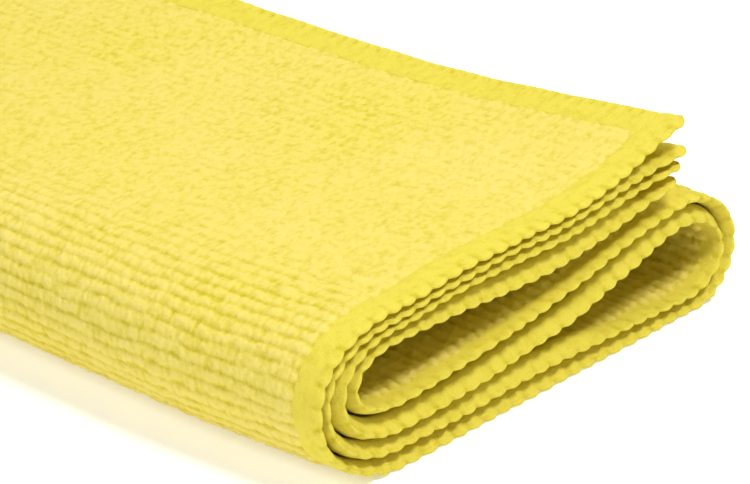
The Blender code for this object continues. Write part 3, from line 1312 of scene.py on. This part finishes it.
@dataclass
class Pile:
    """A patch of loop pile on the outward face of one ply, lined inside the sheet.

    Its rows are those it starts and ends on. Its columns are where it starts, in from the near cut
    edge, and then the end of each stretch with the step in it.
    """

    folds: Folds
    terry: TerryShape
    name: str
    ply: Ply
    rows: tuple[float, float]
    start: float
    columns: tuple[tuple[float, float], ...]
    row_parts: int
    least_open: float
    hem_width: float
    tallness: float
    lining_height: float = 0.08
    lining_columns: int = 12
    sunk_height: float = 0.2
    beside: float = 0.02
    opening_reach: float = 13.0
    opening_turn: float = 0.9
    edge_wander: float = 0.8
    edge_cell: float = 1.3
    ease_zone: tuple[float, float] = (-0.7, 2.0)
    edge_relief: tuple[float, float] = (0.55, 0.45)

    @staticmethod
    def _marks(count: int, step: int) -> Array:
        """The numbers of every so manieth place of a list, and of its last one."""
        return np.unique(np.append(np.arange(0, count - 1, step), count - 1))

    def build(self) -> bpy.types.Object:
        """The closed patch. Its ends stand upright on the crest of a row, to meet the next one."""
        first, last = self.rows
        counts = np.linspace(first, last, round((last - first) * self.row_parts) + 1)
        # The foot of the wall, its top and a row close beside it, which keeps the shading even.
        start = [first, first, first + self.beside]
        end = [last - self.beside, last, last]
        counts = np.concatenate([start, counts[1:-1], end])
        row, along = np.meshgrid(counts, stepped(self.start, self.columns), indexing="ij")
        own_run = self.terry.run_of(row, along)
        run = self.folds.shared_run(self.ply, own_run)
        cross = along if self.ply is Ply.OUTER else self.folds.flat_width - along
        edge_in = np.minimum(np.minimum(run, self.folds.length(Ply.OUTER) - run), along)
        wander = SoftNoise(Seed.PILE_EDGE).at(own_run / self.edge_cell, along / self.edge_cell)
        edge_in = edge_in + self.edge_wander * wander
        ease = ramp(edge_in, *(self.hem_width + off for off in self.ease_zone))
        openness = self.openness(run)
        relief = self.edge_relief[0] + self.edge_relief[1] * ease
        relief = self.terry.relief(row, along, openness) * relief
        tall = self.terry.ridge * (self.terry.lying + (1.0 - self.terry.lying) * openness)
        cell = self.terry.grain_cell
        grain = self.terry.grain * SoftNoise(Seed.PILE_GRAIN).at(own_run / cell, along / cell)
        height = self.terry.floor + tall * self.tallness * relief + grain
        height = self.sunk_height + (height - self.sunk_height) * ease
        set_rim(height, np.full(height.shape, self.sunk_height))
        flat = np.stack([own_run, along], axis=-1)
        # The relief also goes to the material, which paints shade where it is low and a highlight where
        # it is high.
        top = Skin(self.folds.surface(run, cross, height), relief, flat)
        row_marks = self._marks(row.shape[0], self.row_parts)
        column_marks = self._marks(row.shape[1], self.lining_columns)
        at = np.ix_(row_marks, column_marks)
        lining_height = np.full(run[at].shape, self.lining_height)
        lining = Skin(self.folds.surface(run[at], cross[at], lining_height), relief[at], flat[at])
        maker = MeshMaker(self.name)
        maker.lined(top, lining, row_marks, column_marks)
        return maker.made()

    def openness(self, run: Array) -> Array:
        """How far the bend of the cloth opens the pile.

        Args:
            run: The distance along the folds.

        Returns:
            The openness, from 0 to 1.
        """
        ahead, behind = (self.folds.read(self.folds.normals[Ply.OUTER], run + off)
                         for off in (self.opening_reach, -self.opening_reach))
        turn = np.linalg.norm(ahead - behind, axis=-1)
        return np.maximum(ramp(turn, 0.0, self.opening_turn), self.least_open)


@dataclass
class Cloth:
    """The whole cloth: the sheet, its four borders and the patches of pile that can be seen."""

    folds: Folds
    hem_shape: HemShape
    terry_shape: TerryShape
    flat_size: tuple[float, float] = (0.4, 0.4)

    def piles(self) -> list[Pile]:
        """The patches of pile: each is rows of loops on one ply, from the border inward."""
        fine = ((110.0, 0.28), (208.0, 0.62))
        plain = ((62.0, 0.45), (208.0, 0.6))
        hollow = ((42.0, 0.4),)
        far = ((200.5, 0.7),)
        table = (
            ("name", "ply", "rows", "start", "columns", "row_parts", "least_open", "hem_width",
             "tallness"),
            ("pile_lid", Ply.OUTER, (1.5, 33.5), 5.0, fine, 5, 0.0, 5.4, 1.0),
            ("pile_front", Ply.OUTER, (33.5, 57.5), 5.0, fine, 7, 0.0, 5.4, 1.0),
            ("pile_back", Ply.OUTER, (80.5, 100.5), 5.0, plain, 6, 0.0, 5.4, 1.0),
            ("pile_hollow", Ply.OUTER, (100.5, 169.5), 2.7, hollow, 5, 1.0, 3.1, 2.1),
            ("pile_inner_hollow", Ply.INNER, (50.5, 125.5), 2.7, hollow, 5, 1.0, 3.1, 1.7),
            ("pile_far_hollow", Ply.OUTER, (100.5, 169.5), 166.0, far, 4, 1.0, 5.4, 1.0),
            ("pile_far_inner", Ply.INNER, (50.5, 125.5), 166.0, far, 4, 1.0, 5.4, 1.0),
        )
        rows = rows_by_name(table).values()
        return [Pile(folds=self.folds, terry=self.terry_shape, **row) for row in rows]

    def build(self) -> list[bpy.types.Object]:
        """Builds, dresses and declares every piece, the sheet first."""
        terry, overlock = TerryFinish().material(), HemFinish().material()
        sheet = Sheet(self.folds, self.terry_shape).build()
        sheet.data.materials.append(terry)
        others = []
        for edge in Edge:
            hem = Hem(self.folds, self.hem_shape, edge).build()
            hem.data.materials.append(overlock)
            others.append(hem)
        for pile in self.piles():
            patch = pile.build()
            patch.data.materials.append(terry)
            others.append(patch)
        for piece in [sheet, *others]:
            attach(piece, BODY)
        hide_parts(NODE)
        return [sheet, *others]


@dataclass(frozen=True)
class Light:
    """A soft square lamp aimed at the cloth. Lengths are in metres."""

    name: str
    place: tuple[float, float, float]
    size: float
    power: float
    aim: tuple[float, float, float] = (0.0, 0.0, 0.015)

    def build(self) -> None:
        """Hangs the lamp."""
        lamp = bpy.data.lights.new(self.name, "AREA")
        lamp.shape, lamp.size, lamp.energy = "SQUARE", self.size, self.power
        holder = bpy.data.objects.new(self.name, lamp)
        holder.location = self.place
        direction = Vector(self.aim) - Vector(self.place)
        holder.rotation_euler = direction.to_track_quat("-Z", "Y").to_euler()
        bpy.context.scene.collection.objects.link(holder)


@dataclass
class Studio:
    """The pale floor, the soft light and the camera. Lengths are in metres, angles in degrees."""

    camera_place: tuple[float, float, float] = (0.4618, -0.35253, 0.2581)
    azimuth: float = 48.67
    elevation: float = 24.19
    roll: float = -5.72
    focal_pixels: float = 3308.8
    sensor_width: float = 36.0
    nearest: float = 0.01
    farthest: float = 50.0
    floor_size: float = 6.0
    floor_colour: Colour = (0.9, 0.9, 0.9, 1.0)
    floor_paler: float = 1.03
    floor_patch_scale: float = 1.5
    floor_roughness: float = 0.9
    floor_gloss: float = 0.1
    floor_glow: float = 0.33
    sky: float = 0.13
    sky_colour: Colour = (1.0, 1.0, 1.0, 1.0)
    lights: tuple[Light, ...] = (
        Light("front_light", (0.28, -1.07, 1.0), 0.7, 9.2),
        Light("end_light", (0.76, 0.12, 1.31), 0.35, 14.0),
        Light("top_light", (-0.3, 0.62, 1.2), 0.7, 7.6),
    )

    def build_camera(self) -> None:
        """Sets the camera where the photograph was taken from."""
        turn, tilt, roll = (math.radians(a) for a in (self.azimuth, self.elevation, self.roll))
        ahead = Vector((-math.sin(turn) * math.cos(tilt), math.cos(turn) * math.cos(tilt),
                        -math.sin(tilt)))
        level = Vector((math.cos(turn), math.sin(turn), 0.0))
        upright = level.cross(ahead)
        right = level * math.cos(roll) + upright * math.sin(roll)
        up = upright * math.cos(roll) - level * math.sin(roll)
        lens = bpy.data.cameras.new("camera")
        lens.sensor_fit, lens.sensor_width = "HORIZONTAL", self.sensor_width
        lens.lens = self.focal_pixels * self.sensor_width / PHOTO_WIDTH
        lens.clip_start, lens.clip_end = self.nearest, self.farthest
        camera = bpy.data.objects.new("camera", lens)
        axes = Matrix((right, up, -ahead)).transposed()
        camera.matrix_world = Matrix.Translation(self.camera_place) @ axes.to_4x4()
        bpy.context.scene.collection.objects.link(camera)
        bpy.context.scene.camera = camera

    def build_floor(self) -> None:
        """Lays the floor under the cloth."""
        bpy.ops.object.select_all(action="DESELECT")
        bpy.ops.mesh.primitive_plane_add(size=self.floor_size, location=(0.0, 0.0, 0.0))
        floor = bpy.context.object
        floor.name = "floor"
        graph = Graph("pale_floor")
        patches = graph.noise(graph.place(), self.floor_patch_scale)
        paler = tuple(min(1.0, c * self.floor_paler) for c in self.floor_colour[:3]) + (1.0,)
        floor.data.materials.append(graph.shaded({
            "Base Color": graph.mixed(patches, self.floor_colour, paler),
            "Roughness": self.floor_roughness,
            "Specular IOR Level": self.floor_gloss,
            "Emission Color": self.floor_colour,
            "Emission Strength": self.floor_glow,
        }))

    def build_light(self) -> None:
        """Sets the even light all round and hangs the lamps."""
        world = bpy.data.worlds.new("studio")
        world.use_nodes = True
        background = world.node_tree.nodes["Background"]
        background.inputs["Color"].default_value = self.sky_colour
        background.inputs["Strength"].default_value = self.sky
        bpy.context.scene.world = world
        for light in self.lights:
            light.build()
        bpy.context.scene.view_settings.view_transform = "Standard"

    def build(self) -> None:
        """Makes the whole studio."""
        self.build_camera()
        self.build_floor()
        self.build_light()


def report(pieces: Sequence[bpy.types.Object]) -> None:
    """Logs each piece with its count of triangles.

    Args:
        pieces: The pieces.
    """
    total = 0
    for piece in pieces:
        piece.data.calc_loop_triangles()
        count = len(piece.data.loop_triangles)
        total += count
        logging.info("%s: %d triangles", piece.name, count)
    logging.info("all pieces: %d triangles", total)


def main() -> None:
    """Builds the studio and the cloth."""
    logging.basicConfig(level=logging.INFO, format="%(message)s")
    Studio().build()
    pieces = Cloth(Folds(), HemShape(), TerryShape()).build()
    report(pieces)


if __name__ == "__main__":
    main()
